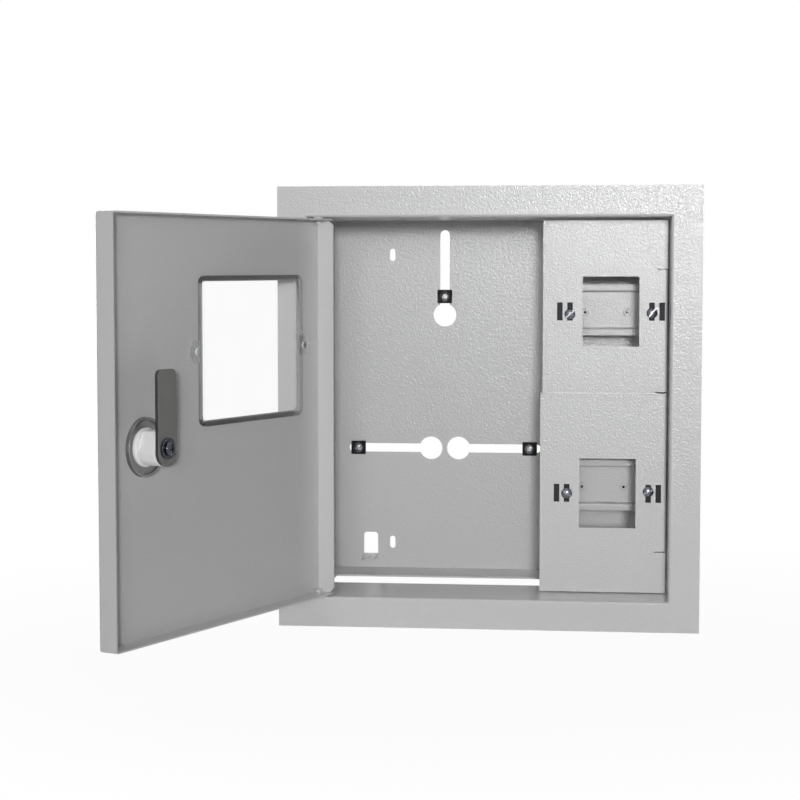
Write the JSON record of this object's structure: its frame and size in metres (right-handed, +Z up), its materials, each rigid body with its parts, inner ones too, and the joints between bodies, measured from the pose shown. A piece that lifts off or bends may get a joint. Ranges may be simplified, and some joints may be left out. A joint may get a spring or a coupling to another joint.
{
  "type": "flush-mounted electric meter box",
  "caption": "Flush-mounted sheet-steel meter box with a hinged windowed door and cam lock, keyhole slots for a meter and covered bays for breakers on rail.",
  "frame": {"origin": "centre of the face frame on the plane of its rear side, the wall surface once built in", "axes": "+X to the right seen from the front, +Y into the wall, +Z up"},
  "size_m": [0.3436, 0.3431, 0.29],
  "materials": {
    "grey_paint": "fine-textured light grey powder coat",
    "plated_steel": "zinc plated",
    "dark_screws": "black oxide",
    "clear_plastic": "clear",
    "zinc": "die cast",
    "white_plastic": "moulded",
    "dark_steel": "stamped",
    "black_plastic": "moulded"
  },
  "bodies": {
    "cabinet": {"wrap_shell": "grey_paint", "top_tray": "grey_paint", "bottom_tray": "grey_paint", "hinge_pin_top": "grey_paint", "hinge_pin_bottom": "grey_paint", "upper_bracket": "dark_steel", "lower_bracket": "dark_steel", "upper_din_rail": "grey_paint", "lower_din_rail": "grey_paint", "rail_rivets": "grey_paint", "upper_cover": "grey_paint", "lower_cover": "grey_paint", "cover_screws": "dark_screws"},
    "door": {"door_panel": "grey_paint", "window_pane": "clear_plastic", "window_rivets": "plated_steel", "lock_escutcheon": "zinc", "lock_sleeve": "white_plastic"},
    "lock_rotor": {"lock_plug": "zinc", "lock_cam": "dark_steel", "cam_washer": "dark_screws", "cam_screw": "dark_screws"},
    "top_slider": {"top_slider_plate": "black_plastic", "top_slider_screw": "dark_screws", "top_slider_nut": "plated_steel"},
    "left_slider": {"left_slider_plate": "black_plastic", "left_slider_screw": "dark_screws", "left_slider_nut": "plated_steel"},
    "right_slider": {"right_slider_plate": "black_plastic", "right_slider_screw": "dark_screws", "right_slider_nut": "plated_steel"}
  },
  "joints": [
    {"name": "door_hinge", "type": "hinge", "parent": "cabinet", "child": "door", "pos_m": [-0.1115, 0.0028, 0], "axis": [0, 0, 1], "range_deg": [-4, 113.6]},
    {"name": "lock_turn", "type": "hinge", "parent": "door", "child": "lock_rotor", "pos_m": [-0.18925, -0.16643, -0.0111], "axis": [0.9164, -0.4003, 0], "range_deg": [0, 90]},
    {"name": "top_slide", "type": "slide", "parent": "cabinet", "child": "top_slider", "axis": [0, 0, 1], "range_m": [0, 0.042]},
    {"name": "left_slide", "type": "slide", "parent": "cabinet", "child": "left_slider", "axis": [1, 0, 0], "range_m": [-0.0025, 0.038]},
    {"name": "right_slide", "type": "slide", "parent": "cabinet", "child": "right_slider", "axis": [1, 0, 0], "range_m": [-0.037, 0.0035]}
  ]
}
